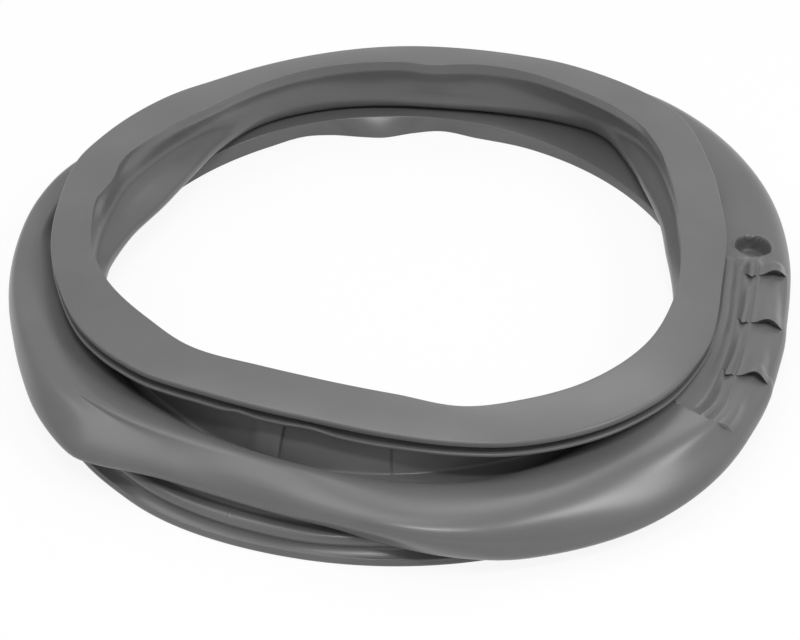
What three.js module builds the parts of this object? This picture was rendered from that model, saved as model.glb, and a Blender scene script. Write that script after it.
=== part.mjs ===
// Door seal of a front-loading washing machine: one moulded rubber bellows ring, lying on its tub side.
// Millimetres, +Z up, the origin on the floor at the centre of the tub rim. Angles are in degrees,
// from +X towards +Y. The front flange, which frames the door's opening, is on top.
import * as THREE from "three";
import { ParametricGeometry } from "three/addons/geometries/ParametricGeometry.js";
import { mergeVertices } from "three/addons/utils/BufferGeometryUtils.js";

// Front flange and the head that holds it
const mouthRadius = 148;         // mean inner edge of the front flange
const mouthHeight = 48;          // inner edge of the front flange above the floor
const flangeWidth = 24;          // mean width of the front flange in plan
const flangeDrop = 4;            // how much lower the flange's outer edge lies
const flangeCrown = 0.4;         // how much the flange's face bulges
const flangeEdge = 2.9;          // thickness of the flange's outer edge
const edgeRound = 0.9;           // rounding of the flange's edges
const channelDepth = 8;          // channel for the cabinet's edge, inwards from the flange's edge
const channelWidth = 3.4;        // height of that channel
const secondLipReach = 8.2;      // length of the thin lip below the channel
const secondLipThickness = 1.8;
const mouthLip = 2;              // thickness of the mouth's edge
const headThickness = 7.2;       // thickness of the head behind the mouth's edge
const headSetback = 3.4;         // where it has that thickness, outwards from the mouth's edge

// Bellows wall, trough and fold
const wall = 3;
const wallInset = 4;             // top of the wall's middle line, inwards from the channel's floor
const wallTopDrop = 2.9;         // bend at the top of the wall, below the head
const wallFootRadius = 150;      // mean inner face of the wall's foot, seen through the mouth
const wallFootHeight = 18;       // where the wall turns into the trough
const troughHeight = 13.4;       // middle of the trough's floor
const troughCorner = 2.3;        // from the wall's foot to the trough's floor
const floorShare = 0.6;          // how far that floor reaches, as a share of the way to the slope's foot
const foldInnerRadius = 176;     // mean inner edge of the fold's crest
const foldShoulderRadius = 191;  // mean outer edge of the fold's crest
const foldOuterRadius = 198;     // mean outermost line of the fold
const foldHeight = 30;           // crest of the fold
const rollHeight = 20;           // height of the fold's outermost line

// Tub rim
const footRadius = 200;          // outer edge of the foot
const footThickness = 3.2;
const footRound = 1;
const neckSetback = 15.5;        // neck, inwards from the foot's edge
const neckHeight = 13.2;
const neckThickness = 5;
const beadRadius = 3.2;          // round bead above the foot
const beadSetback = 7.9;
const beadHeight = 8.6;
const creaseSetback = 5.6;       // crease between the bead and the foot's face
const creaseHeight = 4.4;
const clampWidth = 3.6;          // groove under the foot for the tub's rim
const clampDepth = 4.5;
const clampSetback = 18;         // middle of that groove, inwards from the foot's edge
const lipRadius = 152;           // inner edge of the rim's lip
const lipRound = 0.6;
const lipHeight = 5.6;           // top of the lip's inner edge
const lipRise = 4.4;             // how much the lip's cone rises to the neck

// Moulded length on the right, from the last step to the pocket
const pocketRadius = 8.6;        // round pocket pressed into the fold
const pocketDepth = 8;
const pocketSlope = 2.4;         // width of the pocket's side in plan
const pocketBack = 2.4;          // how much wider the pocket is on the fold's inner face
const pocketAngle = 358.3;
const pocketOffset = 3;          // its centre, outwards from foldInnerRadius
const bandHeight = 1.6;          // raised band next to the flange
const valleyDepth = 1.6;
const smallRidgeHeight = 1.3;
const grooveDepth = 1.5;
const ridgeHeight = 2.4;         // large ridge, which drops at each step
const stepHeight = 4;
const sleeveProud = 0.9;         // how much the plain fold stands proud where the moulded length ends
const stepAngles = [350.4, 337.9, 325.6, 315.4];
const fadeAngle = 5;             // over which the ridges start, beside the pocket
const padHeight = 2.2;           // flat pad on the wall below the second lip
const padAngles = [244.6, 250.9];

// The ring lies slack, so its lines wander. Each list holds [angle, offset] from the size named after it.
const mouthEdge = [
  [4, -6.9], [11, -4.9], [17, -2.5], [22, 0.6], [27, 3], [32, 5.2], [40, 5.9], [52, 5.5], [62, 6],
  [72, 3.5], [82, -3], [89, -0.8], [97, -0.6], [106, -1], [113, -2], [120, -4], [133, -7.3], [146, -4.5],
  [153, -2], [158.5, 0.8], [163, 0.7], [168, -0.8], [172, 0.8], [175, 2.8], [183, 2.5], [192, 2.4],
  [200, 0.8], [203, 0.1], [217, -4.5], [229, -6], [243, -12.5], [256, -13], [270, -7], [281, 4], [291, 7],
  [303, 9], [317, 7], [330, 1], [345, -5.5], [356, -7.6],
]; // mouthRadius
const flangeEdgeLine = [
  [4, -7.1], [13, -3.3], [19, 0], [24, 3.8], [29, 7.8], [34, 10.4], [41, 10.7], [50, 9.3], [59, 7.4],
  [68, 4], [78, 1.6], [90, -0.2], [105, -3.2], [117, -4.5], [127, -4.2], [135, -1.3], [144, 0.4],
  [155, 1.8], [161, 2.6], [169, 0.7], [175, -0.7], [190, -1.3], [199, -1.7], [210, -0.9], [217, -2],
  [222, -3.7], [227, -5.7], [232, -9], [237, -12], [243, -14], [250, -15], [256, -14.6], [262, -12.4],
  [270, -7.8], [279, -1], [286, 4.2], [293, 7.5], [300, 9.5], [307, 9.9], [313, 9.2], [320, 6],
  [326, 2.8], [332, -2], [338, -5.8], [344, -8.1], [352, -8.2],
]; // mouthRadius + flangeWidth
const wallFootLine = [
  [2, -11], [15, -6.5], [27, 0], [37, 9], [48, 19], [57, 16], [68, 9], [81, 5], [104, 7], [118, 5],
  [130, -3], [143, -11], [156, -14], [170, -9], [184, -4], [205, -3], [215, 0], [226, 1.5], [240, 2],
  [255, 4.5], [270, 8], [290, 8], [300, 6.5], [310, 4.5], [325, 1], [345, -8],
]; // wallFootRadius
const slopeRun = [
  [0, 6], [15, 5], [40, 4], [175, 4], [184, 10], [195, 14], [206, 16], [214, 18], [222, 18], [230, 15],
  [237, 11], [246, 8], [260, 6.5], [282, 5], [300, 5.5], [312, 5], [322, 5], [335, 6],
]; // from the crest's inner edge inwards to the slope's foot
const slopeFall = [
  [5, 2], [20, 5], [190, 5], [200, 5], [215, 5.5], [230, 6], [246, 5.2], [280, 5], [292, 3.5], [300, 2.6],
  [312, 2.4], [322, 2], [335, 0.8], [350, 0.8],
]; // from the crest's inner edge down to the slope's foot
const foldCrown = [
  [0, 0.7], [235, 0.7], [250, 1], [262, 2], [272, 3], [285, 3.6], [300, 3.6], [312, 2.6], [322, 1],
  [335, 0.7],
]; // how much the crest bulges
const crestInnerLine = [
  [0, -8], [20, 0], [45, 9], [70, 2], [90, -3], [120, -4], [145, -3], [160, 1], [175, 3.5], [184, 2.5],
  [192, 0.5], [200, 1.5], [208, 4], [215, 6.5], [222, 7.5], [230, 4], [236, 0.5], [242, -2], [250, -2.5],
  [260, -1.5], [272, 1.5], [285, 4], [300, 3], [317, 3], [325, 0], [335, -5], [346, -9],
]; // foldInnerRadius
const crestInnerHeight = [
  [5, 0], [20, -1], [45, -1], [90, -3], [140, -5], [165, -1], [200, 1], [222, 1.5], [238, 0.5], [255, -1],
  [272, -4], [290, -4.5], [300, -2.5], [310, 0], [320, 2], [335, 3.5], [350, 2.5],
]; // foldHeight
const crestMiddleLine = [
  [0, -1], [20, 2], [45, 8], [70, 0], [90, -6], [120, -9], [145, -6.5], [165, 0], [180, 1], [195, 0],
  [208, 3], [217, 5], [226, 1.5], [238, -4], [246, -6], [256, -5], [264, -1], [272, 4], [285, 8],
  [300, 8], [317, 13], [326, 5], [338, -2.5], [348, -4],
]; // halfway between foldInnerRadius and foldShoulderRadius
const shoulderLine = [
  [0, 0], [20, 4], [40, 8.5], [52, 6], [62, 0], [90, -9], [120, -12], [142, -13], [155, -4], [168, -2],
  [180, -2], [195, -1], [205, 1], [215, 4], [222, 3], [229, -2], [240, -8], [252, -8.5], [262, -3],
  [272, 5], [280, 10.5], [288, 12], [300, 11.5], [312, 11], [320, 8.5], [328, 5.5], [340, 0.5],
]; // foldShoulderRadius
const shoulderHeight = [
  [0, -0.5], [45, 0], [90, -3], [140, -5], [165, -1], [200, 0], [212, -0.5], [222, -2.5], [230, -4],
  [240, -5], [250, -5.5], [262, -6], [275, -7.5], [290, -9], [305, -8.5], [314, -5.5], [322, -3],
  [340, -0.5],
]; // foldHeight
const rollLine = [
  [0, 1], [20, 7], [35, 9.5], [48, 8], [60, 1], [90, -9], [120, -14], [142, -14], [155, -9], [170, -6.5],
  [182, -5.5], [192, -4.5], [200, -3], [208, 0.5], [215, 4.5], [221, 7], [225.5, 7.8], [229, 4.5],
  [233, 0], [238, -4], [246, -7], [250, -7], [256, -5.5], [262, -4], [268, -0.5], [275, 6.5], [282, 11.5],
  [288, 13.5], [293, 15], [302, 16.8], [310, 15.8], [317, 13], [326, 7.5], [336, 2], [346, -1.2],
]; // foldOuterRadius
const rollHeightLine = [
  [0, 1], [45, 2], [90, 0], [140, -1], [180, 0], [205, -1], [216, -2], [228, -1.5], [240, 0.5],
  [255, -1.5], [263, -3.5], [270, -5.5], [278, -7.5], [285, -9], [300, -8], [320, -4], [340, 0],
]; // rollHeight
const underLine = [
  [0, -9], [45, -7], [90, -15], [120, -16.5], [142, -16.5], [160, -14], [180, -14], [200, -11.5],
  [210, -7], [218, -3], [225, -1.5], [229, -4.5], [233, -8.5], [238, -11], [246, -11.5], [256, -10.5],
  [262, -8.5], [268, -5], [275, -1], [282, 2], [288, 3.5], [300, 4.5], [312, 1.5], [322, -3.5],
  [335, -10],
]; // footRadius
const underHeight = [
  [0, 3.8], [90, 3.8], [180, 3.8], [205, 2.8], [215, 1.4], [227, 1.4], [233, 2.6], [240, 3.6], [256, 3.6],
  [262, 2.4], [268, -0.8], [275, -3.8], [283, -5.8], [288, -6.2], [300, -5.7], [318, -1.2], [335, 3.8],
]; // neckHeight
const overBeadLine = [
  [0, 0], [90, -0.5], [142, -1], [180, -3], [205, -4.5], [225, 0.5], [246, 0.5], [256, 1], [264, 3],
  [270, 5.5], [278, 7.8], [288, 8], [305, 7.5], [325, 2.5],
]; // footRadius - neckSetback
const overBeadHeight = [
  [0, 1.8], [90, 1.3], [180, 1.8], [240, 1.6], [256, 1.8], [264, 2.7], [271, 3.5], [279, 3.6], [288, 3.6],
  [305, 3.6], [325, 2.6],
]; // neckHeight
const footLine = [
  [0, -2], [45, 0], [90, 0], [140, -1], [165, -5], [185, -7], [205, -9], [216, -7.5], [224, -4],
  [231, -2], [236, -0.4], [242, 0.3], [255, 0], [285, 0], [306, -1], [322, -4], [338, -6.5], [350, -5],
]; // footRadius
const beadLine = [
  [0, 0], [225, 0], [240, 0.2], [250, 0.8], [258, 1.4], [264, 0.7], [270, 0], [290, -0.3], [320, 0],
]; // footRadius - beadSetback
const footInnerLine = [
  [0, 0], [60, -0.5], [72, -2], [80, 0.5], [86, -3.5], [92.5, -8.5], [98, -6.5], [104, -1.5], [110, 1.5],
  [118, -0.5], [132, -2], [145, -2.5], [180, 0], [270, 0],
]; // lipRadius

// Spline parameters at which the wall is sampled on its outer and inner faces. Whole numbers are
// control points: 3 the wall's foot, 7 the crest's inner edge, 8 its middle, 9 its shoulder, 10 the roll.
const outerSamples = [
  1.4, 2.4, 3.3, 4, 4.8, 5.6, 6.4, 7, 7.45, 7.75, 7.92, 8, 8.1, 8.35, 8.65, 9, 9.5, 10, 10.6, 11.2, 12, 13,
];
const innerSamples = [12.7, 11.6, 10.5, 9.7, 9.1, 8.6, 8.1, 7.5, 7, 6, 5, 4, 3.3, 2.6];
const headSample = 2;
const crestSamples = [6.5, 9.5];
const padSamples = [1, 3.6];
const evenStations = 69;
const stationGap = 1.6;          // least turn between an even station and a chosen one
const edgeTurn = 0.3;            // half the turn between the two stations at a step or the pad's end

// Where each moulded form runs on the fold, as spline parameters: its middle and half its width
const bandPlace = [6.95, 0.42];
const valleyPlace = [7.4, 0.34];
const smallRidgePlace = [7.8, 0.2];
const groovePlace = [8, 0.09];
const ridgePlace = [8.7, 0.64];
const sleevePlace = [8.2, 1.6];

const radians = THREE.MathUtils.degToRad;
const lerp = THREE.MathUtils.lerp;
const wrapped = (degrees) => THREE.MathUtils.euclideanModulo(degrees, 360);
const signedTurn = (degrees, centre) => wrapped(degrees - centre + 180) - 180;
const hump = (t) => (Math.abs(t) < 1 ? (1 + Math.cos(Math.PI * t)) / 2 : 0);

// Smooth closed curve through [angle, value] pairs, with each slope from the pair's two neighbours.
function around(pairs, degrees) {
  const count = pairs.length;
  const at = (k) => {
    const turn = Math.floor(k / count);
    const [angle, value] = pairs[k - turn * count];
    return [angle + 360 * turn, value];
  };
  const angle = wrapped(degrees - pairs[0][0]) + pairs[0][0];
  let k = 0;
  while (at(k + 1)[0] <= angle) k += 1;
  const [a, b, c, d] = [at(k - 1), at(k), at(k + 1), at(k + 2)];
  const span = c[0] - b[0];
  const slopeB = ((c[1] - a[1]) / (c[0] - a[0])) * span;
  const slopeC = ((d[1] - b[1]) / (d[0] - b[0])) * span;
  const t = (angle - b[0]) / span;
  return (
    (2 * t ** 3 - 3 * t ** 2 + 1) * b[1] + (t ** 3 - 2 * t ** 2 + t) * slopeB +
    (3 * t ** 2 - 2 * t ** 3) * c[1] + (t ** 3 - t ** 2) * slopeC
  );
}

// Uniform cubic B-spline through the control points, each pushed out by half its bend; value and slope at t.
function spline(points, t) {
  const last = points.length - 1;
  const pushed = points.map((p, k) => {
    if (k === 0 || k === last) return p;
    return [0, 1].map((i) => 1.5 * p[i] - 0.25 * (points[k - 1][i] + points[k + 1][i]));
  });
  const at = (k) => {
    if (k < 0) return [0, 1].map((i) => 2 * pushed[0][i] - pushed[1][i]);
    if (k > last) return [0, 1].map((i) => 2 * pushed[last][i] - pushed[last - 1][i]);
    return pushed[k];
  };
  const k = Math.min(Math.floor(t), last - 1);
  const s = t - k;
  const corners = [at(k - 1), at(k), at(k + 1), at(k + 2)];
  const weights = [(1 - s) ** 3, 3 * s ** 3 - 6 * s ** 2 + 4, -3 * s ** 3 + 3 * s ** 2 + 3 * s + 1, s ** 3];
  const slopes = [-((1 - s) ** 2), 3 * s ** 2 - 4 * s, -3 * s ** 2 + 2 * s + 1, s ** 2];
  const value = [0, 1].map((i) => corners.reduce((sum, p, n) => sum + (weights[n] * p[i]) / 6, 0));
  const slope = [0, 1].map((i) => corners.reduce((sum, p, n) => sum + (slopes[n] * p[i]) / 2, 0));
  return { value, slope };
}

// Outer edge of the front flange, and the underside of the second lip below it.
function headEdges(degrees) {
  const outer = mouthRadius + flangeWidth + around(flangeEdgeLine, degrees);
  const top = mouthHeight - flangeDrop;
  const under = top - flangeEdge - channelWidth - secondLipThickness;
  return { outer, top, under };
}

// Control points of the wall's middle surface at one angle, from under the head to inside the rim.
function wallPoints(degrees) {
  const half = wall / 2;
  const { outer, under } = headEdges(degrees);
  const wallTop = outer - channelDepth - wallInset;
  const bend = under - wallTopDrop;
  const wallFoot = wallFootRadius + around(wallFootLine, degrees) + half;
  const crest = foldInnerRadius + around(crestInnerLine, degrees);
  const crestTop = foldHeight + around(crestInnerHeight, degrees) - half;
  const slope = crest - around(slopeRun, degrees);
  const middle = (foldInnerRadius + foldShoulderRadius) / 2 + around(crestMiddleLine, degrees);
  const shoulder = foldShoulderRadius + around(shoulderLine, degrees);
  const shoulderTop = foldHeight + around(shoulderHeight, degrees) - half;
  const neck = footRadius + around(footLine, degrees) - neckSetback;
  return [
    [wallTop, under + wallTopDrop],
    [wallTop, bend],
    [(wallTop + wallFoot) / 2, (bend + wallFootHeight) / 2],
    [wallFoot, wallFootHeight],
    [wallFoot + troughCorner, troughHeight],
    [lerp(wallFoot, slope, floorShare), troughHeight],
    [slope, crestTop - around(slopeFall, degrees)],
    [crest, crestTop],
    [middle, (crestTop + shoulderTop) / 2 + around(foldCrown, degrees)],
    [shoulder, shoulderTop],
    [foldOuterRadius + around(rollLine, degrees) - half, rollHeight + around(rollHeightLine, degrees)],
    [footRadius + around(underLine, degrees), neckHeight + around(underHeight, degrees)],
    [footRadius - neckSetback + around(overBeadLine, degrees), neckHeight + around(overBeadHeight, degrees)],
    [neck, neckHeight],
    [neck - neckThickness / 2, neckHeight - neckThickness / 2],
  ];
}

// How far the moulded length stands proud: a band, a valley, a small ridge, a groove and a stepped ridge.
function relief(degrees, t) {
  const start = stepAngles[stepAngles.length - 1];
  const along = wrapped(degrees - start);
  const length = wrapped(pocketAngle - start);
  if (along > length) return 0;
  const fade = Math.min(1, (length - along) / fadeAngle);
  const steps = stepAngles.map((step) => wrapped(step - start));
  const segment = steps.findIndex((step, k) => k > 0 && along < steps[k - 1] && along >= step);
  const low = segment < 0 ? 0 : (along - steps[segment]) / (steps[segment - 1] - steps[segment]);
  const form = ([middle, halfWidth]) => hump((t - middle) / halfWidth);
  return fade * (
    bandHeight * form(bandPlace) -
    valleyDepth * form(valleyPlace) +
    smallRidgeHeight * (1 - 0.6 * low) * form(smallRidgePlace) -
    grooveDepth * form(groovePlace) +
    (ridgeHeight - stepHeight * low) * form(ridgePlace) -
    sleeveProud * form(sleevePlace)
  );
}

// How far the pad on the wall stands proud.
function pad(degrees, t) {
  const inside = degrees > padAngles[0] && degrees < padAngles[1];
  return inside && t > padSamples[0] && t < padSamples[1] ? padHeight : 0;
}

// How far the round pocket presses the fold down at a point in plan; wider is for the inner face.
function pocket(radius, degrees, wider) {
  const turn = radians(signedTurn(degrees, pocketAngle));
  const centre = foldInnerRadius + pocketOffset;
  const distance = Math.hypot(radius * Math.cos(turn) - centre, radius * Math.sin(turn));
  const inside = pocketRadius + wider - distance;
  return pocketDepth * THREE.MathUtils.smoothstep(inside, -pocketSlope / 2, pocketSlope / 2);
}

// One face of the wall: side is 1 for the outer face and -1 for the inner face.
function wallFace(degrees, samples, side) {
  const points = wallPoints(degrees);
  return samples.map((t) => {
    const { value, slope } = spline(points, t);
    const long = Math.hypot(slope[0], slope[1]);
    const thickness = wall / 2 + (side > 0 ? relief(degrees, t) + pad(degrees, t) : 0);
    const radius = value[0] - (side * thickness * slope[1]) / long;
    const height = value[1] + (side * thickness * slope[0]) / long;
    const onCrest = t > crestSamples[0] && t < crestSamples[1];
    const wider = side > 0 ? 0 : pocketBack;
    return [radius, height - (onCrest ? pocket(radius, degrees, wider) : 0)];
  });
}

// Front flange: its conical face, rounded outer edge, channel for the cabinet and thin second lip.
function flange(degrees) {
  const { outer, top, under } = headEdges(degrees);
  const inner = mouthRadius + around(mouthEdge, degrees);
  const slope = flangeDrop / flangeWidth;
  const channelTop = top - flangeEdge;
  const channelFloor = channelTop - channelWidth;
  const channelEnd = outer - channelDepth;
  const lipTip = channelEnd + secondLipReach;
  const tipRound = secondLipThickness / 3;
  return [
    [inner, mouthHeight - edgeRound],
    [inner + edgeRound, mouthHeight],
    [(inner + outer) / 2, (mouthHeight + top) / 2 + flangeCrown],
    [outer - 2 * edgeRound, top + 2 * edgeRound * slope],
    [outer, top - edgeRound],
    [outer, channelTop + edgeRound],
    [outer - edgeRound, channelTop],
    [channelEnd, channelTop],
    [channelEnd, channelFloor],
    [lipTip - tipRound, channelFloor],
    [lipTip, channelFloor - secondLipThickness / 2],
    [lipTip - tipRound, under],
    [channelEnd - tipRound, under],
  ];
}

// Tub rim: bead, groove, foot, clamp groove underneath, and the lip's cone back up to the neck.
function rim(degrees) {
  const foot = footRadius + around(footLine, degrees);
  const bead = foot - beadSetback + around(beadLine, degrees);
  const onBead = (turn) => [
    bead + beadRadius * Math.cos(radians(turn)),
    beadHeight + beadRadius * Math.sin(radians(turn)),
  ];
  const clamp = foot - clampSetback;
  const innerFoot = lipRadius + around(footInnerLine, degrees);
  const coneEnd = foot - neckSetback - neckThickness;
  return [
    [bead - beadRadius - wall / 2, beadHeight + beadRadius / 2],
    ...[85, 40, -5, -52].map(onBead),
    [foot - creaseSetback, creaseHeight],
    [foot - footRound, footThickness],
    [foot, footThickness - footRound],
    [foot, footRound / 2],
    [foot - footRound / 2, 0],
    [clamp + clampWidth / 2, 0],
    [clamp + clampWidth / 2, clampDepth],
    [clamp - clampWidth / 2, clampDepth],
    [clamp - clampWidth / 2, 0],
    [innerFoot + lipRound, 0],
    [innerFoot, lipRound],
    [lipRadius, lipHeight - lipRound],
    [lipRadius + lipRound, lipHeight],
    [(lipRadius + coneEnd) / 2, lipHeight + 0.6 * lipRise],
    [coneEnd, lipHeight + lipRise],
  ];
}

// Inner face of the head, from the wall up to the mouth's edge.
function headInside(degrees) {
  const inner = mouthRadius + around(mouthEdge, degrees);
  const [[wallRadius, wallHeight]] = wallFace(degrees, [headSample], -1);
  const [backRadius, backHeight] = [inner + headSetback, mouthHeight - headThickness];
  return [
    [lerp(wallRadius, backRadius, 0.4), lerp(wallHeight, backHeight, 0.6)],
    [backRadius, backHeight],
    [inner + lipRound / 2, mouthHeight - mouthLip],
  ];
}

// Stations round the ring: evenly spread, and closer where the steps, the pocket and the pad need them.
function stationAngles() {
  const ends = [...stepAngles, ...padAngles].flatMap((angle) => [angle - edgeTurn, angle + edgeTurn]);
  const halfTurn = THREE.MathUtils.radToDeg(pocketRadius / (foldInnerRadius + pocketOffset));
  const across = [-1.25, -1, -0.6, 0, 0.6, 1, 1.25].map((share) => pocketAngle + share * halfTurn);
  const chosen = [...ends, ...across];
  const even = [];
  for (let k = 0; k < evenStations; k += 1) {
    const angle = (360 * k) / evenStations;
    if (chosen.every((other) => Math.abs(signedTurn(angle, other)) > stationGap)) even.push(angle);
  }
  return [...even, ...chosen.map(wrapped)].sort((a, b) => a - b);
}

function section(degrees) {
  return [
    ...flange(degrees),
    ...wallFace(degrees, outerSamples, 1),
    ...rim(degrees),
    ...wallFace(degrees, innerSamples, -1),
    ...headInside(degrees),
  ].reverse();
}

// The sections are joined round the ring and round themselves into one closed skin.
function sealGeometry() {
  const angles = stationAngles();
  const sections = angles.map(section);
  const stations = angles.length;
  const round = sections[0].length;
  const point = (u, v, target) => {
    const station = Math.round(u * stations) % stations;
    const [radius, height] = sections[station][Math.round(v * round) % round];
    const turn = radians(angles[station]);
    target.set(radius * Math.cos(turn), radius * Math.sin(turn), height);
  };
  const skin = new ParametricGeometry(point, stations, round);
  skin.deleteAttribute("normal");
  skin.deleteAttribute("uv");
  const closed = mergeVertices(skin);
  closed.computeVertexNormals();
  return closed;
}

const rubber = new THREE.MeshStandardMaterial({ color: 0x767676, roughness: 0.5, metalness: 0 });
const seal = new THREE.Mesh(sealGeometry(), rubber);
seal.name = "door_seal";

const part = new THREE.Group();
part.add(seal);

export default part;
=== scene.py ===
"""Looks of a front-loading washing machine's door seal: one moulded ring of grey rubber, lying slack.

The ring is one closed skin. Its section is worked out at every angle round the ring from a few lines
that wander, and small moulded forms are laid on it as displacements. Lengths are in millimetres until
the mesh is made. Angles are in degrees from +X towards +Y, and the viewer is on the -Y side.
"""

import bpy
import numpy as np
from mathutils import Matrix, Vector

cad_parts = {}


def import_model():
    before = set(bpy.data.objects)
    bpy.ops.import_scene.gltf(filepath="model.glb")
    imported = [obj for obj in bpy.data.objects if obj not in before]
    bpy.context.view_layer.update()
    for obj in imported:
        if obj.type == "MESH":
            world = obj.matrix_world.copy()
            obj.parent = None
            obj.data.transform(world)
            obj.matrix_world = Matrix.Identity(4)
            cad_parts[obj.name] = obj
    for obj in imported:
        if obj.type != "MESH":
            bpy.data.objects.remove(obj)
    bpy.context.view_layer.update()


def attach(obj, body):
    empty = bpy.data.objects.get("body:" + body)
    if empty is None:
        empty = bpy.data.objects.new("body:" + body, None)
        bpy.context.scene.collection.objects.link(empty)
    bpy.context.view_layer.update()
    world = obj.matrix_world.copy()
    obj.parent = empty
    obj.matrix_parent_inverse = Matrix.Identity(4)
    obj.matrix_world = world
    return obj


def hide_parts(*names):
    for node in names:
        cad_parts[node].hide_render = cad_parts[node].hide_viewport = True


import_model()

MM = 0.001

# Front flange and the head that holds it
MOUTH_RADIUS = 148.0
MOUTH_HEIGHT = 48.0
FLANGE_WIDTH = 24.0
FLANGE_DROP = 4.0
FLANGE_CROWN = 0.4
FLANGE_EDGE = 2.9
EDGE_ROUND = 0.9
CHANNEL_DEPTH = 8.0
CHANNEL_WIDTH = 3.4
SECOND_LIP_REACH = 8.2
SECOND_LIP_THICKNESS = 1.8
MOUTH_LIP = 1.5
MOUTH_UNDERCUT = 0.5
LIP_ROOT = 0.6
THIN_EDGE_ROUND = 0.7
CORNER_ROUND = 0.5
HEAD_THICKNESS = 7.2
HEAD_SETBACK = 1.8
HEAD_BEND_SHARES = (0.4, 0.6)
HEAD_END_SETBACK = 0.8
HEAD_END_DROP = 0.6

# Bellows wall, trough and fold
WALL = 3.0
WALL_INSET = 4.0
WALL_TOP_DROP = 2.9
WALL_FOOT_RADIUS = 150.0
WALL_FOOT_HEIGHT = 18.0
TROUGH_HEIGHT = 13.4
TROUGH_CORNER = 2.3
FLOOR_SHARE = 0.6
FOLD_INNER_RADIUS = 176.0
CREST_WIDTH = 15.0
ROLL_REACH = 7.0
FOLD_HEIGHT = 30.0
ROLL_HEIGHT = 20.0

# Tub rim
FOOT_RADIUS = 200.0
FOOT_THICKNESS = 3.2
NECK_SETBACK = 15.5
NECK_HEIGHT = 13.2
NECK_THICKNESS = 5.0
BEAD_RADIUS = 3.2
BEAD_SETBACK = 7.9
BEAD_HEIGHT = 8.6
CREASE_HEIGHT = 4.4
CREASE_REACH = 2.3
FOOT_BEVEL = 0.5
FOOT_BEVEL_RISE = 0.2
EDGE_LINE_DEPTH = 0.3
EDGE_LINE_TOP = 2.1
EDGE_LINE_FOOT = 1.7
EDGE_LINE_ROUND = 0.4
FINE_ROUND = 0.3
CLAMP_WIDTH = 3.6
CLAMP_DEPTH = 4.5
CLAMP_SETBACK = 18.0
LIP_RADIUS = 152.0
LIP_ROUND = 0.6
LIP_HEIGHT = 5.6
LIP_RISE = 4.4
CONE_SHARE = 0.6
CONE_LIFT_SHARE = 1 / 3
CONE_ROUND = 4.0

# How the slack ring's lines wander, as (angle, offset) pairs; the slope and crown lists give whole sizes
MOUTH_EDGE = [
    (4, -6.9), (11, -4.9), (17, -2.5), (22, 0.6), (27, 3), (32, 5.2), (40, 5.9), (52, 5.5), (62, 6),
    (72, 3.5), (82, -3), (89, -0.8), (97, -0.6), (106, -1), (113, -2), (120, -4), (133, -7.3), (146, -4.5),
    (153, -2), (158.5, 0.8), (163, 0.7), (168, -0.8), (172, 0.8), (175, 2.8), (183, 2.5), (192, 2.4),
    (200, 0.8), (203, 0.1), (217, -4.5), (229, -6), (243, -12.5), (256, -13), (270, -7), (281, 4), (291, 7),
    (303, 9), (317, 7), (330, 1), (345, -5.5), (356, -7.6),
]
FLANGE_EDGE_LINE = [
    (4, -7.1), (13, -3.3), (19, 0), (24, 3.8), (29, 7.8), (34, 10.4), (41, 10.7), (50, 9.3), (59, 7.4),
    (68, 4), (78, 1.6), (90, -0.2), (105, -3.2), (117, -4.5), (127, -4.2), (135, -1.3), (144, 0.4),
    (155, 1.8), (161, 2.6), (169, 0.7), (175, -0.7), (190, -1.3), (199, -1.7), (210, -0.9), (217, -2),
    (222, -3.7), (227, -5.7), (232, -9), (237, -12), (243, -14), (250, -15), (256, -14.6), (262, -12.4),
    (270, -7.8), (279, -1), (286, 4.2), (293, 7.5), (300, 9.5), (307, 9.9), (313, 9.2), (320, 6),
    (326, 2.8), (332, -2), (338, -5.8), (344, -8.1), (352, -8.2),
]
WALL_FOOT_LINE = [
    (2, -11), (15, -6.5), (27, 0), (37, 9), (48, 19), (57, 16.5), (68, 10.5), (81, 6.5), (104, 8), (118, 6),
    (130, -2), (143, -11), (156, -14), (170, -9), (184, -4), (205, -3), (215, 0), (226, 1.5), (240, 2),
    (255, 4.5), (270, 8), (290, 8), (300, 6.5), (310, 4.5), (325, 1), (345, -8),
]
WALL_FOOT_HEIGHT_LINE = [
    (0, 0), (45, 0), (62, 0), (118, 0), (140, 0), (178, 0), (192, 2), (228, 2), (242, 0.5), (252, 0.5),
    (264, 2.2), (288, 2.8), (303, 0.5), (330, 0),
]
TROUGH_LINE = [
    (0, 0), (175, 0), (190, 3), (228, 3.6), (240, 1), (252, 1), (264, 4), (286, 4.8), (300, 2.4), (316, 0),
]
SLOPE_RUN = [
    (0, 6), (15, 5), (40, 4), (175, 4), (184, 10), (195, 14), (206, 16), (214, 18), (222, 18), (230, 15),
    (237, 11), (246, 8), (260, 6.5), (282, 6.2), (300, 7), (312, 6.5), (322, 5.5), (335, 6),
]
FOLD_CROWN = [
    (0, 0.7), (225, 0.7), (238, 1.1), (250, 1.2), (262, 1.5), (272, 2), (285, 2.5), (300, 2.5), (312, 1.8),
    (322, 1), (335, 0.7),
]
SLOPE_FALL = [
    (5, 2), (20, 5), (190, 5), (200, 5), (215, 5.5), (230, 6), (246, 5.2), (262, 4.6), (280, 3.6), (292, 2.4),
    (300, 1.9), (312, 1.9), (322, 1.7), (335, 0.8), (350, 0.8),
]
CREST_INNER_LINE = [
    (0, -8), (20, 0), (45, 9), (70, 2), (90, -3), (120, -4), (145, -3), (160, 1), (175, 3.5), (184, 2.5),
    (192, 0.5), (200, 1.5), (208, 4), (215, 6.5), (222, 7.5), (230, 4), (236, 0.5), (242, -2), (250, -2.5),
    (260, -1.5), (272, 1.5), (285, 4), (300, 3), (317, 3), (325, 0), (335, -5), (346, -9),
]
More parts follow.
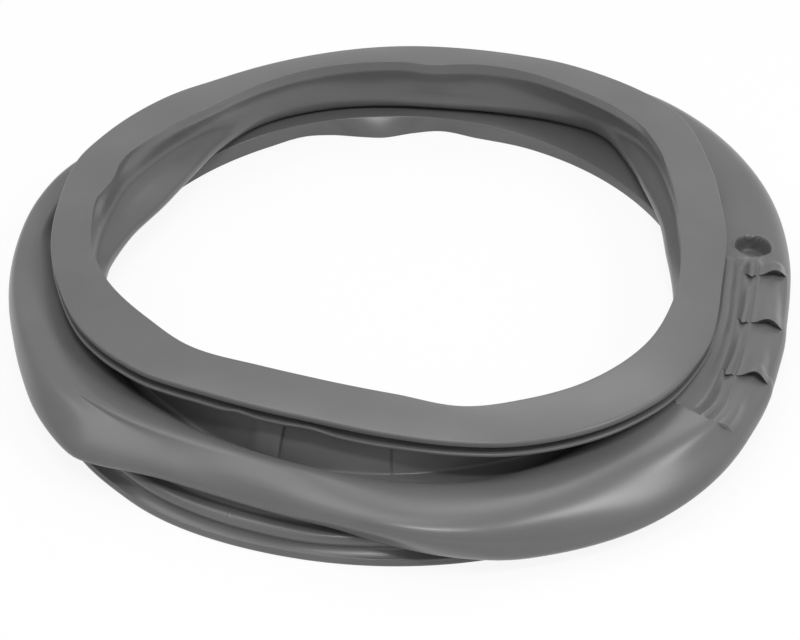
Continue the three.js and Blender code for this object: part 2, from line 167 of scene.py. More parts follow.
CREST_INNER_HEIGHT = [
    (5, 0), (20, -1), (45, -1), (90, -3), (140, -5), (165, -1), (200, 1), (222, 1.5), (238, 0.5), (255, -1),
    (272, -4), (290, -4.5), (300, -2.5), (310, 0), (320, 2), (335, 3.5), (350, 2.5),
]
CREST_MIDDLE_LINE = [
    (0, -1), (20, 2), (45, 8), (70, 0), (90, -6), (120, -9), (145, -6.5), (165, 0), (180, 1), (195, 0),
    (208, 3), (217, 5), (226, 1.5), (238, -4), (246, -6), (256, -4), (264, 0.5), (272, 5.5), (285, 8.5),
    (300, 8), (317, 13), (326, 5), (338, -2.5), (348, -4),
]
SHOULDER_LINE = [
    (0, 0), (20, 4), (40, 8.5), (52, 6), (62, 0), (90, -9), (120, -12), (142, -13), (155, -4), (168, -2),
    (180, -2), (195, -1), (205, 1), (215, 4), (222, 3), (229, -2), (240, -7), (252, -4.6), (262, 3.4),
    (272, 12), (280, 14.8), (288, 13.6), (300, 11.5), (312, 11), (320, 8.5), (328, 5.5), (340, 0.5),
]
SHOULDER_HEIGHT = [
    (0, -0.5), (45, 0), (90, -3), (140, -5), (165, -1), (200, 0), (212, -0.5), (222, -2), (230, -2.8),
    (240, -3.2), (250, -4), (262, -4.6), (275, -5.2), (290, -7), (305, -6.8), (314, -4.5), (322, -2.6),
    (340, -0.5),
]
ROLL_LINE = [
    (0, 1), (20, 7), (35, 9.5), (48, 8), (60, 1), (90, -9), (120, -14), (142, -14), (155, -9), (170, -6.5),
    (182, -5.5), (192, -4.5), (200, -3), (208, 0.5), (215, 4.5), (221, 7), (225.5, 7.8), (229, 4.5),
    (233, 0), (238, -4), (246, -7), (250, -7), (256, -5.5), (262, -4), (268, -0.5), (275, 6.5), (282, 11.5),
    (288, 13.5), (293, 15), (302, 16.8), (310, 15.8), (317, 13), (326, 7.5), (336, 2), (346, -1.2),
]
ROLL_HEIGHT_LINE = [
    (0, 1), (45, 2), (90, 0), (140, -1), (180, 0), (205, -1), (216, -2), (228, -1.5), (240, 0.5),
    (255, -1.5), (263, -3.5), (270, -5.5), (278, -7.5), (285, -9), (300, -8), (320, -4), (340, 0),
]
UNDER_LINE = [
    (0, -9), (45, -7), (90, -15), (120, -16.5), (142, -16.5), (160, -14), (180, -14), (200, -11.5),
    (210, -7), (218, -3), (225, -1.5), (229, -4.5), (233, -8.5), (238, -11), (246, -11.5), (256, -10.5),
    (262, -8.5), (268, -4.4), (275, -1), (282, 2), (288, 3.5), (300, 4.5), (312, 1.5), (322, -3.5),
    (335, -10),
]
UNDER_HEIGHT = [
    (0, 3.8), (90, 3.8), (180, 3.8), (205, 2.8), (215, 1.4), (227, 1.4), (233, 2.6), (240, 3.6), (256, 3.6),
    (262, 2.4), (268, -0.8), (275, -3.8), (283, -5.8), (288, -6.2), (300, -5.7), (318, -1.2), (335, 3.8),
]
OVER_BEAD_LINE = [
    (0, 0), (90, -0.5), (142, -1), (180, -3), (205, -4.5), (225, 0.5), (246, 0.5), (256, 1), (264, 3),
    (270, 5.5), (278, 7.8), (288, 8), (305, 7.5), (325, 2.5),
]
OVER_BEAD_HEIGHT = [
    (0, 1.8), (90, 1.3), (180, 1.8), (240, 1.6), (256, 1.8), (264, 2.7), (271, 3.5), (279, 3.6),
    (288, 3.6), (305, 3.6), (325, 2.6),
]
FOOT_LINE = [
    (0, -2), (45, 0), (90, 0), (140, -1), (165, -5), (185, -7), (205, -9), (216, -7.5), (224, -4),
    (231, -2), (236, -0.4), (242, 0.3), (255, 0), (285, 0), (306, -1), (322, -4), (338, -6.5), (350, -5),
]
BEAD_LINE = [
    (0, 0), (225, 0), (240, 0.2), (250, 0.8), (258, 1.4), (264, 0.7), (270, 0), (290, -0.3), (320, 0),
]
FOOT_INNER_LINE = [
    (0, 0), (60, -0.5), (72, -2), (80, 0.5), (86, -3.5), (92.5, -8.5), (98, -6.5), (104, -1.5), (110, 1.5),
    (118, -0.5), (132, -2), (145, -2.5), (180, 0), (270, 0),
]
LIP_HEIGHT_LINE = [
    (0, 0), (40, 0), (55, 1.5), (75, 3.5), (120, 3.5), (135, 1.5), (150, 0), (180, 0), (270, 0),
]

# Moulded length on the right: pocket, stepped ridges and the sleeve where the plain fold starts
POCKET_ANGLE = 357.9
POCKET_OFFSET = 3.0
POCKET_RADIUS = 8.3
POCKET_DEPTH = 9.5
POCKET_SLOPE = 2.2
POCKET_BEAD = 0.7
POCKET_BACK = 2.6
POCKET_SPREAD = 0.45
POCKET_BEAD_WIDTH = 1.4
STEP_ANGLES = [350.4, 337.9, 325.6]
SLEEVE_ANGLE = 315.4
STEP_BOW = [0.8, 1.1, 1.9]
SMALL_STEP_BOW = -1.4
STEP_END_LIFT = [1.9, 1.8, 2.6]
STEP_OVERHANG = 1.15
OVERHANG_RUN = 1.8
BOW_REACH = 5.0
FALL_CURVE = 1.6
SLEEVE_PROUD = 0.9
BAND_HEIGHT = 1.3
VALLEY_DEPTH = 2.1
SMALL_RIDGE_HEIGHT = 1.3
GROOVE_DEPTH = 1.5
RIDGE_HEIGHT = 2.9
STEP_DROP = 4.8
SMALL_STEP_DROP = 2.4
FADE_START = 3.4
FADE_ANGLE = 2.2
VALLEY_FADE = 1.5
ARC_REACH = 10.0

# Where each moulded form runs on the fold: its middle and half its width, as spline parameters t
BAND_PLACE = (6.78, 0.52)
VALLEY_PLACE = (7.42, 0.36)
SMALL_RIDGE_PLACE = (7.8, 0.2)
GROOVE_PLACE = (8.0, 0.07)
RIDGE_PLACE = (8.7, 0.64)
SLEEVE_PLACE = (8.2, 1.6)

# Spans and fades along the section, as spline parameters t
FOLD_SPAN = (6.5, 9.6)
STEP_FACE = (7.55, 9.4)
LIFT_END = 10.2
LIFT_FADE = 0.8
ARC_SPAN = (6.0, 10.0)
ARC_FADE = 0.9
ARC_MIDDLE = 8.0
ARC_BEND = 0.3
ARC_BEND_START = 7.6
PAD_SPAN = (0.9, 4.2)
PAD_FADES = (0.3, 0.8)
WALL_LINE_SPAN = (0.9, 3.8)
WALL_LINE_FADES = (0.3, 0.4)
HEAD_LEAVES_WALL = 2.7
HEAD_BENDS = 2.0

# Forms on the wall, the second lip and the rim
PAD_ANGLES = (244.6, 250.9)
PAD_SIDES = (1.8, 0.4)
PAD_HEIGHT = 2.2
WALL_LINE_ANGLE = 269.3
WALL_LINE_WIDTH = 0.25
WALL_LINE_DEPTH = 0.6
SEAM_ANGLE = 248.0
SEAM_WIDTH = 0.12
SEAM_HEIGHT = 0.35
LIP_WAVE = [
    (180, 0), (215, -0.4), (236, -0.2), (241, -0.3), (243.7, 0.9), (246.5, -0.1), (251, -0.1), (256.3, 0.8),
    (260, -0.5), (265, -0.9), (272, -0.4), (290, 0), (320, 0),
]

# How finely the skin is cut, in degrees, spline parameters t or shares; a span is (first, last, count)
PLAIN_STEP = 1.16
MOULDED_STEP = 0.34
PLAIN_START = 5.0
MOULDED_START = 313.0
MOULDED_END = 365.0
STEP_TURNS = (-0.18, -0.12, -0.06, -0.02, 0.02, 0.06, 0.12, 0.18)
MARK_TURNS = (-0.4, -0.25, -0.12, -0.05, 0.0, 0.05, 0.12, 0.25, 0.4)
OUTER_SPANS = [(1.3, 6.35, 22), (6.5, 9.65, 54), (9.8, 11.9, 13)]
INNER_STARTS = [12.6, 11.5, 10.5, 9.75, 9.1, 8.5, 7.9, 7.3]
INNER_SPAN = (6.8, 2.9, 18)
HEAD_SPAN = (0.4, 3.8, 9)
BEAD_TURNS = (100, -58, 12)
FACE_SHARES = (0.12, 0.25, 0.4, 0.55, 0.7, 0.82, 0.92)
SHORT_SIDE_SHARE = 0.45

# Looks of the rubber, floor, sky and lamps, in metres and watts; each lamp is (name, place, size, power)
DARK_GREY = (0.118, 0.118, 0.119, 1)
LIGHT_GREY = (0.136, 0.136, 0.137, 1)
CLOUD_SCALE = 22
GRAIN_SCALE = 900
FINE_GRAIN_SCALE = 1800
ROUGHNESS = (0.285, 0.31)
NOISE_RANGE = (0.3, 0.7)
GRAIN_STRENGTH = 0.12
GRAIN_HEIGHT = 0.0001
FLOOR_HALF = 4.0
FLOOR_DROP = 0.0003
FLOOR_TONE = (0.8, 0.8, 0.8, 1)
FLOOR_WHITE_SHARE = 0.9
SKY_LIGHT = 0.56
LAMPS = [
    ("right_lamp", (0.75, -0.35, 1.0), (0.3, 0.3), 4.1),
    ("left_lamp", (-0.8, 0.0, 1.1), (0.4, 0.25), 1.3),
    ("front_lamp", (0.0, -0.62, 1.28), (0.45, 0.15), 4.8),
    ("top_lamp", (-0.3, 0.15, 1.4), (0.7, 0.6), 3.0),
    ("back_lamp", (0.3, 0.75, 1.2), (0.7, 0.3), 2.2),
]

# The photograph's camera: degrees, metres, pixels of a frame 800 wide, and a sensor in millimetres
FRAME_WIDTH = 800
ELEVATION = 36.86
CAMERA_DISTANCE = 1.0
FOCAL_PIXELS = 1949
SHIFT_PIXELS = (4.2, -31.6)
SENSOR = 36


def around(pairs, degrees):
    """Smooth closed curve through (angle, value) pairs: a cubic between each two pairs, whose slope at a
    pair is that of the line joining its two neighbours."""
    angles, values = np.array(pairs, float).T
    angles = np.concatenate([angles[-2:] - 360, angles, angles[:2] + 360])
    values = np.concatenate([values[-2:], values, values[:2]])
    slopes = np.zeros_like(values)
    slopes[1:-1] = (values[2:] - values[:-2]) / (angles[2:] - angles[:-2])
    turned = np.mod(degrees - pairs[0][0], 360) + pairs[0][0]
    k = np.clip(np.searchsorted(angles, turned, side="right") - 1, 1, len(angles) - 3)
    span = angles[k + 1] - angles[k]
    t = (turned - angles[k]) / span
    start = (2 * t**3 - 3 * t**2 + 1) * values[k] + (t**3 - 2 * t**2 + t) * span * slopes[k]
    end = (3 * t**2 - 2 * t**3) * values[k + 1] + (t**3 - t**2) * span * slopes[k + 1]
    return start + end


def turn_from(degrees, centre):
    """Signed turn from centre to each angle, from -180 to 180."""
    return np.mod(degrees - centre + 180, 360) - 180


def hump(t):
    """One smooth hump: (1 + cos(pi t)) / 2, which is 1 at t = 0, and 0 beyond -1 and 1."""
    return np.where(np.abs(t) < 1, (1 + np.cos(np.pi * np.clip(t, -1, 1))) / 2, 0)


def ramp(t):
    """Smooth ramp: 0 below t = 0, 3t2 - 2t3 between, 1 above t = 1."""
    s = np.clip(t, 0, 1)
    return s * s * (3 - 2 * s)


def spline(points, samples):
    """Uniform cubic B-spline in t through rows of control points, each pushed out by half its bend so
    that the curve passes close to it. Returns the value and the slope at each sample."""
    pushed = points.copy()
    pushed[1:-1] = 1.5 * points[1:-1] - 0.25 * (points[:-2] + points[2:])
    rows = np.concatenate([2 * pushed[:1] - pushed[1:2], pushed, 2 * pushed[-1:] - pushed[-2:-1]])
    k = np.minimum(np.floor(samples).astype(int), len(points) - 2)
    s = (samples - k)[:, None, None]
    a, b, c, d = rows[k], rows[k + 1], rows[k + 2], rows[k + 3]
    value = (
        (1 - s)**3 * a + (3 * s**3 - 6 * s**2 + 4) * b + (-3 * s**3 + 3 * s**2 + 3 * s + 1) * c + s**3 * d
    ) / 6
    slope = (-(1 - s)**2 * a + (3 * s**2 - 4 * s) * b + (-3 * s**2 + 2 * s + 1) * c + s**2 * d) / 2
    return value, slope


def rounded(corners):
    """Polyline whose corners are rounded. Each corner is (radius row, height row, rounding, steps): it
    becomes a parabola that leaves the two sides at the rounding's distance, or partway along a short side."""
    places = np.array([[c[0], c[1]] for c in corners])
    rows = []
    for k, (_, _, rounding, steps) in enumerate(corners):
        if rounding == 0 or k in (0, len(corners) - 1):
            rows.append(places[k][None])
            continue
        ends = []
        for other in (places[k - 1], places[k + 1]):
            side = other - places[k]
            length = np.hypot(side[0], side[1])
            ends.append(places[k] + side * np.minimum(rounding / length, SHORT_SIDE_SHARE))
        u = np.linspace(0, 1, steps)[:, None, None]
        rows.append((1 - u)**2 * ends[0] + 2 * u * (1 - u) * places[k] + u**2 * ends[1])
    return np.concatenate(rows)


def head_edges(degrees):
    """Outer edge of the flange, its top, and the underside of the second lip."""
    outer = MOUTH_RADIUS + FLANGE_WIDTH + around(FLANGE_EDGE_LINE, degrees)
    top = MOUTH_HEIGHT - FLANGE_DROP + 0 * degrees
    under = top - FLANGE_EDGE - CHANNEL_WIDTH - SECOND_LIP_THICKNESS
    return outer, top, under


def wall_points(degrees):
    """Control points of the wall's middle surface, from under the head to inside the rim."""
    half = WALL / 2
    outer, top, under = head_edges(degrees)
    level = np.ones_like(degrees)
    foot_height = WALL_FOOT_HEIGHT + around(WALL_FOOT_HEIGHT_LINE, degrees)
    trough = TROUGH_HEIGHT + around(TROUGH_LINE, degrees)
    wall_top = outer - CHANNEL_DEPTH - WALL_INSET
    bend = under - WALL_TOP_DROP
    wall_foot = WALL_FOOT_RADIUS + around(WALL_FOOT_LINE, degrees) + half
    crest = FOLD_INNER_RADIUS + around(CREST_INNER_LINE, degrees)
    crest_top = FOLD_HEIGHT + around(CREST_INNER_HEIGHT, degrees) - half
    slope = crest - around(SLOPE_RUN, degrees)
    middle = FOLD_INNER_RADIUS + CREST_WIDTH / 2 + around(CREST_MIDDLE_LINE, degrees)
    shoulder = FOLD_INNER_RADIUS + CREST_WIDTH + around(SHOULDER_LINE, degrees)
    shoulder_top = FOLD_HEIGHT + around(SHOULDER_HEIGHT, degrees) - half
    roll = FOLD_INNER_RADIUS + CREST_WIDTH + ROLL_REACH + around(ROLL_LINE, degrees) - half
    neck = FOOT_RADIUS + around(FOOT_LINE, degrees) - NECK_SETBACK
    over_bead = FOOT_RADIUS - NECK_SETBACK + around(OVER_BEAD_LINE, degrees)
    return np.array([
        [wall_top, under + WALL_TOP_DROP],
        [wall_top, bend],
        [(wall_top + wall_foot) / 2, (bend + foot_height) / 2],
        [wall_foot, foot_height],
        [wall_foot + TROUGH_CORNER, trough],
        [wall_foot + FLOOR_SHARE * (slope - wall_foot), trough],
        [slope, crest_top - around(SLOPE_FALL, degrees)],
        [crest, crest_top],
        [middle, (crest_top + shoulder_top) / 2 + around(FOLD_CROWN, degrees)],
        [shoulder, shoulder_top],
        [roll, ROLL_HEIGHT + around(ROLL_HEIGHT_LINE, degrees)],
        [FOOT_RADIUS + around(UNDER_LINE, degrees), NECK_HEIGHT + around(UNDER_HEIGHT, degrees)],
        [over_bead, NECK_HEIGHT + around(OVER_BEAD_HEIGHT, degrees)],
        [neck, NECK_HEIGHT * level],
        [neck - NECK_THICKNESS / 2, (NECK_HEIGHT - NECK_THICKNESS / 2) * level],
    ])


def segment_fall(degrees):
    """How far each section has fallen below its segment's top: 0 just behind a step, growing evenly to 1
    just in front of the step before it."""
    along = turn_from(degrees, SLEEVE_ANGLE)
    steps = [turn_from(angle, SLEEVE_ANGLE) for angle in STEP_ANGLES]
    fall = np.zeros_like(along)
    for far, near in zip(steps, steps[1:] + [0.0]):
        inside = (along < far) & (along >= near)
        fall = np.where(inside, (along - near) / (far - near), fall)
    return fall


def form(place, t):
    """One moulded form across the fold: a hump at the place's middle, as wide as the place says."""
    return hump((t - place[0]) / place[1])


def turned_back(degrees, samples):
    """How many degrees each point of the outer face is turned on along the ring: the steps' lips are
    bowed and overhang the ridge in front of them, and the sleeve's edge is an arc."""
    t = samples[:, None]
    small, large = form(SMALL_RIDGE_PLACE, t), form(RIDGE_PLACE, t)
    turn = 0
    for angle, rise, lift in zip(STEP_ANGLES, STEP_BOW, STEP_END_LIFT):
        ahead = turn_from(degrees, angle)
        under = np.where(ahead < 0, np.clip(1 + ahead / OVERHANG_RUN, 0, 1), 0)
        end = lift * ramp((t - RIDGE_PLACE[0]) / RIDGE_PLACE[1]) * ramp((LIFT_END - t) / LIFT_FADE)
        bow = (rise * large + SMALL_STEP_BOW * small + end) * hump(ahead / BOW_REACH)
        turn = turn + bow + STEP_OVERHANG * np.sqrt(large + small) * under
    arc = t - ARC_MIDDLE + ARC_BEND * (t - ARC_BEND_START)**2
    arc = arc * ramp(t - ARC_SPAN[0]) * ramp((ARC_SPAN[1] - t) / ARC_FADE)
    return turn + arc * hump(turn_from(degrees, SLEEVE_ANGLE) / ARC_REACH)


def relief(degrees, t):
    """How far the moulded length stands proud of the plain fold: a band beside the flange, a valley, a
    small ridge, a groove and a large ridge, the ridges falling in steps, all ending at the sleeve."""
    turn = turn_from(degrees, SLEEVE_ANGLE)
    length = turn_from(POCKET_ANGLE - FADE_START, SLEEVE_ANGLE)
    within = (turn > 0) & (turn < length)
    fade = ramp((length - turn) / FADE_ANGLE)
    start = ramp(turn / VALLEY_FADE)

    fall = segment_fall(degrees)**FALL_CURVE
    small, large = form(SMALL_RIDGE_PLACE, t), form(RIDGE_PLACE, t)
    ridges = (
        SMALL_RIDGE_HEIGHT * small - SMALL_STEP_DROP * fall * np.sqrt(small)
        + RIDGE_HEIGHT * large - STEP_DROP * fall * np.sqrt(large) - GROOVE_DEPTH * form(GROOVE_PLACE, t)
    )
    valley = -VALLEY_DEPTH * start * form(VALLEY_PLACE, t)
    band = BAND_HEIGHT * form(BAND_PLACE, t)
    sleeve = -SLEEVE_PROUD * form(SLEEVE_PLACE, t)
    return np.where(within, fade * (ridges + valley + band + sleeve), 0)


def pocket(radius, degrees, wider):
    """The round pocket pressed into the fold: its share of the full depth at each point, and the height
    of the fine bead round its mouth. wider is added to its radius."""
    turn = np.radians(turn_from(degrees, POCKET_ANGLE))
    centre = FOLD_INNER_RADIUS + POCKET_OFFSET
    distance = np.hypot(radius * np.cos(turn) - centre, radius * np.sin(turn))
    share = ramp((POCKET_RADIUS + wider - distance) / POCKET_SLOPE + 0.5)
    bead = POCKET_BEAD * hump((distance - POCKET_RADIUS - POCKET_SLOPE / 2) / POCKET_BEAD_WIDTH)
    return share, bead


def wall_marks(degrees, t):
    """The pad and the fine line on the wall below the second lip."""

    def within(span, fades):
        return ramp((t - span[0]) / fades[0]) * ramp((span[1] - t) / fades[1])

    rise = ramp((degrees - PAD_ANGLES[0]) / PAD_SIDES[0]) * ramp((PAD_ANGLES[1] - degrees) / PAD_SIDES[1])
    line = hump((degrees - WALL_LINE_ANGLE) / WALL_LINE_WIDTH) * within(WALL_LINE_SPAN, WALL_LINE_FADES)
    return PAD_HEIGHT * rise * within(PAD_SPAN, PAD_FADES) - WALL_LINE_DEPTH * line


def wall_face(degrees, samples, side):
    """One face of the wall: the spline moved sideways by half the wall and by what stands proud of it.
    side is 1 for the outer face and -1 for the inner face. Each point is (radius, height, extra turn)."""
    value, slope = spline(wall_points(degrees), samples)
    long = np.hypot(slope[:, 0], slope[:, 1])
    t = samples[:, None] + 0 * degrees
    proud = relief(degrees, t) + wall_marks(degrees, t) if side > 0 else 0
    thickness = WALL / 2 + proud
    radius = value[:, 0] - side * thickness * slope[:, 1] / long
    height = value[:, 1] + side * thickness * slope[:, 0] / long
    share, bead = pocket(radius, degrees, 0 if side > 0 else POCKET_BACK)
    on_crest = (t > FOLD_SPAN[0]) & (t < FOLD_SPAN[1])
    spread = np.where(on_crest, POCKET_SPREAD * share * turn_from(degrees, POCKET_ANGLE), 0)
    return np.stack([radius, height - np.where(on_crest, POCKET_DEPTH * share - bead, 0), spread], 1)


def flange(degrees):
    """Front flange: conical face crowned by a low parabola, rounded edges, channel for the cabinet's edge
    and thin second lip."""
    outer, top, under = head_edges(degrees)
    inner = MOUTH_RADIUS + around(MOUTH_EDGE, degrees)
    mouth = MOUTH_HEIGHT + 0 * degrees
    channel_top = top - FLANGE_EDGE
    channel_floor = channel_top - CHANNEL_WIDTH
    channel_end = outer - CHANNEL_DEPTH
    wave = around(LIP_WAVE, degrees)
    lip_tip = channel_end + SECOND_LIP_REACH
    face = []
    for share in FACE_SHARES:
        crown = 4 * FLANGE_CROWN * share * (1 - share)
        face.append((inner + share * (outer - inner), mouth + share * (top - mouth) + crown, 0, 1))
    return rounded([
        (inner + MOUTH_UNDERCUT, mouth - MOUTH_LIP, 0, 1),
        (inner, mouth, EDGE_ROUND, 6),
        *face,
        (outer, top, EDGE_ROUND, 6),
        (outer, channel_top, THIN_EDGE_ROUND, 4),
        (channel_end, channel_top, CORNER_ROUND, 3),
        (channel_end, channel_floor, CORNER_ROUND, 3),
        (lip_tip, channel_floor + wave, THIN_EDGE_ROUND, 4),
        (lip_tip, channel_floor - SECOND_LIP_THICKNESS + wave, THIN_EDGE_ROUND, 4),
        (channel_end - LIP_ROOT, under, 0, 1),
    ])


def rim(degrees):
    """Tub rim: groove under the fold, round bead as an arc, foot, clamp groove underneath and the lip's
    cone. The seam is a fine line across the bead."""
    foot = FOOT_RADIUS + around(FOOT_LINE, degrees)
    level = np.ones_like(degrees)
    bead = foot - BEAD_SETBACK + around(BEAD_LINE, degrees)
    turns = np.radians(np.linspace(*BEAD_TURNS))[:, None]
    seam = SEAM_HEIGHT * hump(turn_from(degrees, SEAM_ANGLE) / SEAM_WIDTH)
    round_bead = np.stack([
        bead + (BEAD_RADIUS + seam) * np.cos(turns),
        BEAD_HEIGHT + (BEAD_RADIUS + seam) * np.sin(turns),
    ], 1)
    clamp = foot - CLAMP_SETBACK
    inner_foot = LIP_RADIUS + around(FOOT_INNER_LINE, degrees)
    raised = around(LIP_HEIGHT_LINE, degrees)
    cone_end = foot - NECK_SETBACK - NECK_THICKNESS
    cone_height = LIP_HEIGHT + CONE_SHARE * LIP_RISE + CONE_LIFT_SHARE * raised
    groove = np.array([[bead - BEAD_RADIUS - WALL / 2, (BEAD_HEIGHT + BEAD_RADIUS / 2) * level]])
    rest = rounded([
        (bead + CREASE_REACH, CREASE_HEIGHT * level, FINE_ROUND, 3),
        (foot - FOOT_BEVEL, (FOOT_THICKNESS + FOOT_BEVEL_RISE) * level, FOOT_BEVEL, 3),
        (foot - EDGE_LINE_DEPTH, EDGE_LINE_TOP * level, EDGE_LINE_ROUND, 3),
        (foot, EDGE_LINE_FOOT * level, FINE_ROUND, 3),
        (foot, 0 * level, CORNER_ROUND, 3),
        (clamp + CLAMP_WIDTH / 2, 0 * level, FINE_ROUND, 2),
        (clamp + CLAMP_WIDTH / 2, CLAMP_DEPTH * level, FINE_ROUND, 2),
        (clamp - CLAMP_WIDTH / 2, CLAMP_DEPTH * level, FINE_ROUND, 2),
        (clamp - CLAMP_WIDTH / 2, 0 * level, FINE_ROUND, 2),
        (inner_foot, 0 * level, LIP_ROUND, 3),
        (LIP_RADIUS * level, LIP_HEIGHT + raised, LIP_ROUND, 4),
        ((LIP_RADIUS + cone_end) / 2, cone_height, CONE_ROUND, 3),
        (cone_end, (LIP_HEIGHT + LIP_RISE) * level, 0, 1),
    ])
    return np.concatenate([groove, round_bead, rest])


def head_inside(degrees):
    """Inner face of the head: a spline from the wall's inner face up to the mouth's edge."""
    inner = MOUTH_RADIUS + around(MOUTH_EDGE, degrees)
    start = wall_face(degrees, np.array([HEAD_LEAVES_WALL]), -1)[0, :2]
    bend = wall_face(degrees, np.array([HEAD_BENDS]), -1)[0, :2]
    back = np.array([inner + HEAD_SETBACK, MOUTH_HEIGHT - HEAD_THICKNESS + 0 * degrees])
    between = bend + np.array(HEAD_BEND_SHARES)[:, None] * (back - bend)
    end = [inner + HEAD_END_SETBACK, MOUTH_HEIGHT - MOUTH_LIP - HEAD_END_DROP + 0 * degrees]
    value, _ = spline(np.array([start, bend, between, back, end]), np.linspace(*HEAD_SPAN))
    return value


def outer_samples():
    """Spline parameters of the outer face, close together where the moulded forms lie."""
    return np.concatenate([np.linspace(*span) for span in OUTER_SPANS])


def station_angles():
    """Angles of the sections: PLAIN_STEP apart on the plain ring, MOULDED_STEP in the moulded length, and
    closer at the steps, the sleeve, the pad, the seam and the line on the wall."""
    plain = np.arange(PLAIN_START, MOULDED_START, PLAIN_STEP)
    moulded = np.arange(MOULDED_START, MOULDED_END, MOULDED_STEP)
    close = [angle + turn for angle in [*STEP_ANGLES, SLEEVE_ANGLE] for turn in STEP_TURNS]
    close += [angle + turn for angle in (PAD_ANGLES[1], WALL_LINE_ANGLE, SEAM_ANGLE) for turn in MARK_TURNS]
    angles = np.mod(np.concatenate([plain, moulded, close]), 360)
    return np.unique(np.round(angles, 4))


def seal_surface():
    """All sections, one column of points each: the radius, height and angle of every point and which
    faces are shaded flat, each as an array (point round the section, station)."""
    degrees = station_angles()
    outer = outer_samples()
    inner = np.concatenate([INNER_STARTS, np.linspace(*INNER_SPAN)])
    parts = [
        flange(degrees),
        wall_face(degrees, outer, 1),
        rim(degrees),
        wall_face(degrees, inner, -1),
        head_inside(degrees),
    ]
    section = np.concatenate([part[:, :2] for part in parts])
    turn = degrees + 0 * section[:, 0]
    first = len(parts[0])
    behind = first + len(outer) + len(parts[2])
    turn[first:first + len(outer)] += turned_back(degrees, outer) + parts[1][:, 2]
    turn[behind:behind + len(inner)] += parts[3][:, 2]
    return section[:, 0], section[:, 1], turn, step_faces(outer, first, len(section))


def step_faces(samples, first, points):
    """Which faces, as (point, station), are the upright faces of the steps: these are shaded flat, so
    that the lips above them stay crisp."""
    stations = station_angles()
    flat = np.zeros((points, len(stations)), bool)
    rows = first + np.flatnonzero((samples > STEP_FACE[0]) & (samples < STEP_FACE[1]))
    for angle in STEP_ANGLES:
        flat[rows, np.searchsorted(stations, angle) - 1] = True
    return flat


def ring_mesh(name, radius, height, degrees, flat):
    """Closed skin of quads through the sections, joined round the section and round the ring."""
    turn = np.radians(degrees)
    places = np.stack([radius * np.cos(turn), radius * np.sin(turn), height], -1) * MM
    points, stations = radius.shape
    index = np.arange(points * stations).reshape(points, stations)
    up = np.roll(index, -1, 0)
    on = np.roll(index, -1, 1)
    both = np.roll(up, -1, 1)
    quads = np.stack([index, up, both, on], -1).reshape(-1, 4)
    mesh = bpy.data.meshes.new(name)
    mesh.from_pydata(places.reshape(-1, 3).tolist(), [], quads.tolist())
    mesh.polygons.foreach_set("use_smooth", ~flat.ravel())
    piece = bpy.data.objects.new(name, mesh)
    bpy.context.scene.collection.objects.link(piece)
    return piece


def rubber():
    """Satin grey moulded rubber: faint clouds of tone, uneven gloss and a fine grain."""
    material = bpy.data.materials.new("grey_rubber")
    material.use_nodes = True
    nodes, links = material.node_tree.nodes, material.node_tree.links
    shader = nodes["Principled BSDF"]
    place = nodes.new("ShaderNodeTexCoord").outputs["Object"]

    def noise(scale, detail):
        node = nodes.new("ShaderNodeTexNoise")
        node.inputs["Scale"].default_value = scale
        node.inputs["Detail"].default_value = detail
        links.new(place, node.inputs["Vector"])
        return node.outputs["Fac"]

    clouds = noise(CLOUD_SCALE, detail=3)
    grain = noise(GRAIN_SCALE, detail=2)
    fine = noise(FINE_GRAIN_SCALE, detail=1)
    tone = nodes.new("ShaderNodeValToRGB")
    for element, position, colour in zip(tone.color_ramp.elements, NOISE_RANGE, (DARK_GREY, LIGHT_GREY)):
        element.position = position
        element.color = colour
    links.new(clouds, tone.inputs["Fac"])
    links.new(tone.outputs["Color"], shader.inputs["Base Color"])
    gloss = nodes.new("ShaderNodeMapRange")
    gloss.inputs["From Min"].default_value, gloss.inputs["From Max"].default_value = NOISE_RANGE
    gloss.inputs["To Min"].default_value, gloss.inputs["To Max"].default_value = ROUGHNESS
    links.new(grain, gloss.inputs["Value"])
    links.new(gloss.outputs["Result"], shader.inputs["Roughness"])
    bump = nodes.new("ShaderNodeBump")
    bump.inputs["Strength"].default_value = GRAIN_STRENGTH
    bump.inputs["Distance"].default_value = GRAIN_HEIGHT
    links.new(fine, bump.inputs["Height"])
    links.new(bump.outputs["Normal"], shader.inputs["Normal"])
    return material


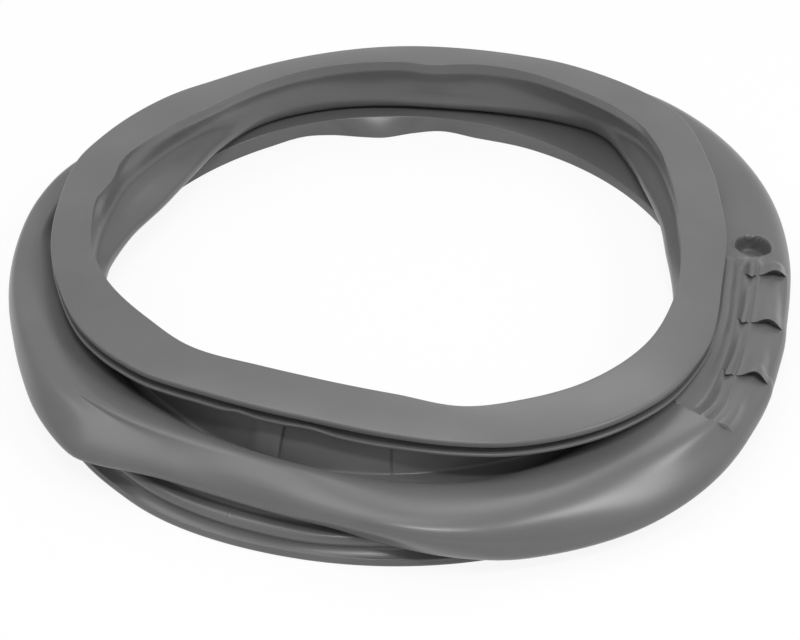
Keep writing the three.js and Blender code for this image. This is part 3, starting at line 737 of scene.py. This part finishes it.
def floor():
    """Plain pale floor: the camera and reflections see it almost white, with the ring's faint shadow."""
    mesh = bpy.data.meshes.new("floor")
    corners = [(-1, -1), (1, -1), (1, 1), (-1, 1)]
    mesh.from_pydata([(x * FLOOR_HALF, y * FLOOR_HALF, -FLOOR_DROP) for x, y in corners], [], [(0, 1, 2, 3)])
    piece = bpy.data.objects.new("floor", mesh)
    bpy.context.scene.collection.objects.link(piece)
    material = bpy.data.materials.new("pale_floor")
    material.use_nodes = True
    nodes, links = material.node_tree.nodes, material.node_tree.links
    nodes.clear()
    out = nodes.new("ShaderNodeOutputMaterial")
    paper = nodes.new("ShaderNodeBsdfDiffuse")
    paper.inputs["Color"].default_value = FLOOR_TONE
    white = nodes.new("ShaderNodeEmission")
    rays = nodes.new("ShaderNodeLightPath")

    def math_node(operation):
        node = nodes.new("ShaderNodeMath")
        node.operation = operation
        return node

    seen, seen_all, share = math_node("MAXIMUM"), math_node("MAXIMUM"), math_node("MULTIPLY")
    share.inputs[1].default_value = FLOOR_WHITE_SHARE
    mix = nodes.new("ShaderNodeMixShader")
    links.new(rays.outputs["Is Camera Ray"], seen.inputs[0])
    links.new(rays.outputs["Is Glossy Ray"], seen.inputs[1])
    links.new(seen.outputs["Value"], seen_all.inputs[0])
    links.new(rays.outputs["Is Transmission Ray"], seen_all.inputs[1])
    links.new(seen_all.outputs["Value"], share.inputs[0])
    links.new(share.outputs["Value"], mix.inputs["Fac"])
    links.new(paper.outputs["BSDF"], mix.inputs[1])
    links.new(white.outputs["Emission"], mix.inputs[2])
    links.new(mix.outputs["Shader"], out.inputs["Surface"])
    mesh.materials.append(material)


def world():
    """White to the camera, and a plain pale light on the ring."""
    sky = bpy.data.worlds.new("studio")
    bpy.context.scene.world = sky
    sky.use_nodes = True
    nodes, links = sky.node_tree.nodes, sky.node_tree.links
    light = nodes["Background"]
    light.inputs["Color"].default_value = (1, 1, 1, 1)
    light.inputs["Strength"].default_value = SKY_LIGHT
    white = nodes.new("ShaderNodeBackground")
    white.inputs["Strength"].default_value = 1.0
    rays = nodes.new("ShaderNodeLightPath")
    mix = nodes.new("ShaderNodeMixShader")
    links.new(rays.outputs["Is Camera Ray"], mix.inputs["Fac"])
    links.new(light.outputs["Background"], mix.inputs[1])
    links.new(white.outputs["Background"], mix.inputs[2])
    links.new(mix.outputs["Shader"], nodes["World Output"].inputs["Surface"])


def soft_box(name, place, size, power):
    """Rectangular studio lamp that looks at the ring's centre."""
    lamp = bpy.data.lights.new(name, "AREA")
    lamp.shape = "RECTANGLE"
    lamp.size, lamp.size_y = size
    lamp.energy = power
    holder = bpy.data.objects.new(name, lamp)
    holder.location = place
    holder.rotation_euler = (-Vector(place)).to_track_quat("-Z", "Y").to_euler()
    bpy.context.scene.collection.objects.link(holder)


def camera():
    """The photograph's camera, which looks down at the ring from the -Y side."""
    elevation = np.radians(ELEVATION)
    data = bpy.data.cameras.new("camera")
    data.sensor_width = SENSOR
    data.lens = FOCAL_PIXELS / FRAME_WIDTH * SENSOR
    data.shift_x, data.shift_y = [shift / FRAME_WIDTH for shift in SHIFT_PIXELS]
    holder = bpy.data.objects.new("camera", data)
    holder.location = (0, -CAMERA_DISTANCE * np.cos(elevation), CAMERA_DISTANCE * np.sin(elevation))
    holder.rotation_euler = (np.pi / 2 - elevation, 0, 0)
    bpy.context.scene.collection.objects.link(holder)
    bpy.context.scene.camera = holder


def seal():
    """The moulded ring, which stands for the plain solid door_seal."""
    piece = ring_mesh("door_seal_skin", *seal_surface())
    piece.data.materials.append(rubber())
    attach(piece, "root")
    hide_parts("door_seal")


seal()
floor()
world()
for lamp in LAMPS:
    soft_box(*lamp)
camera()
bpy.context.scene.view_settings.view_transform = "Standard"
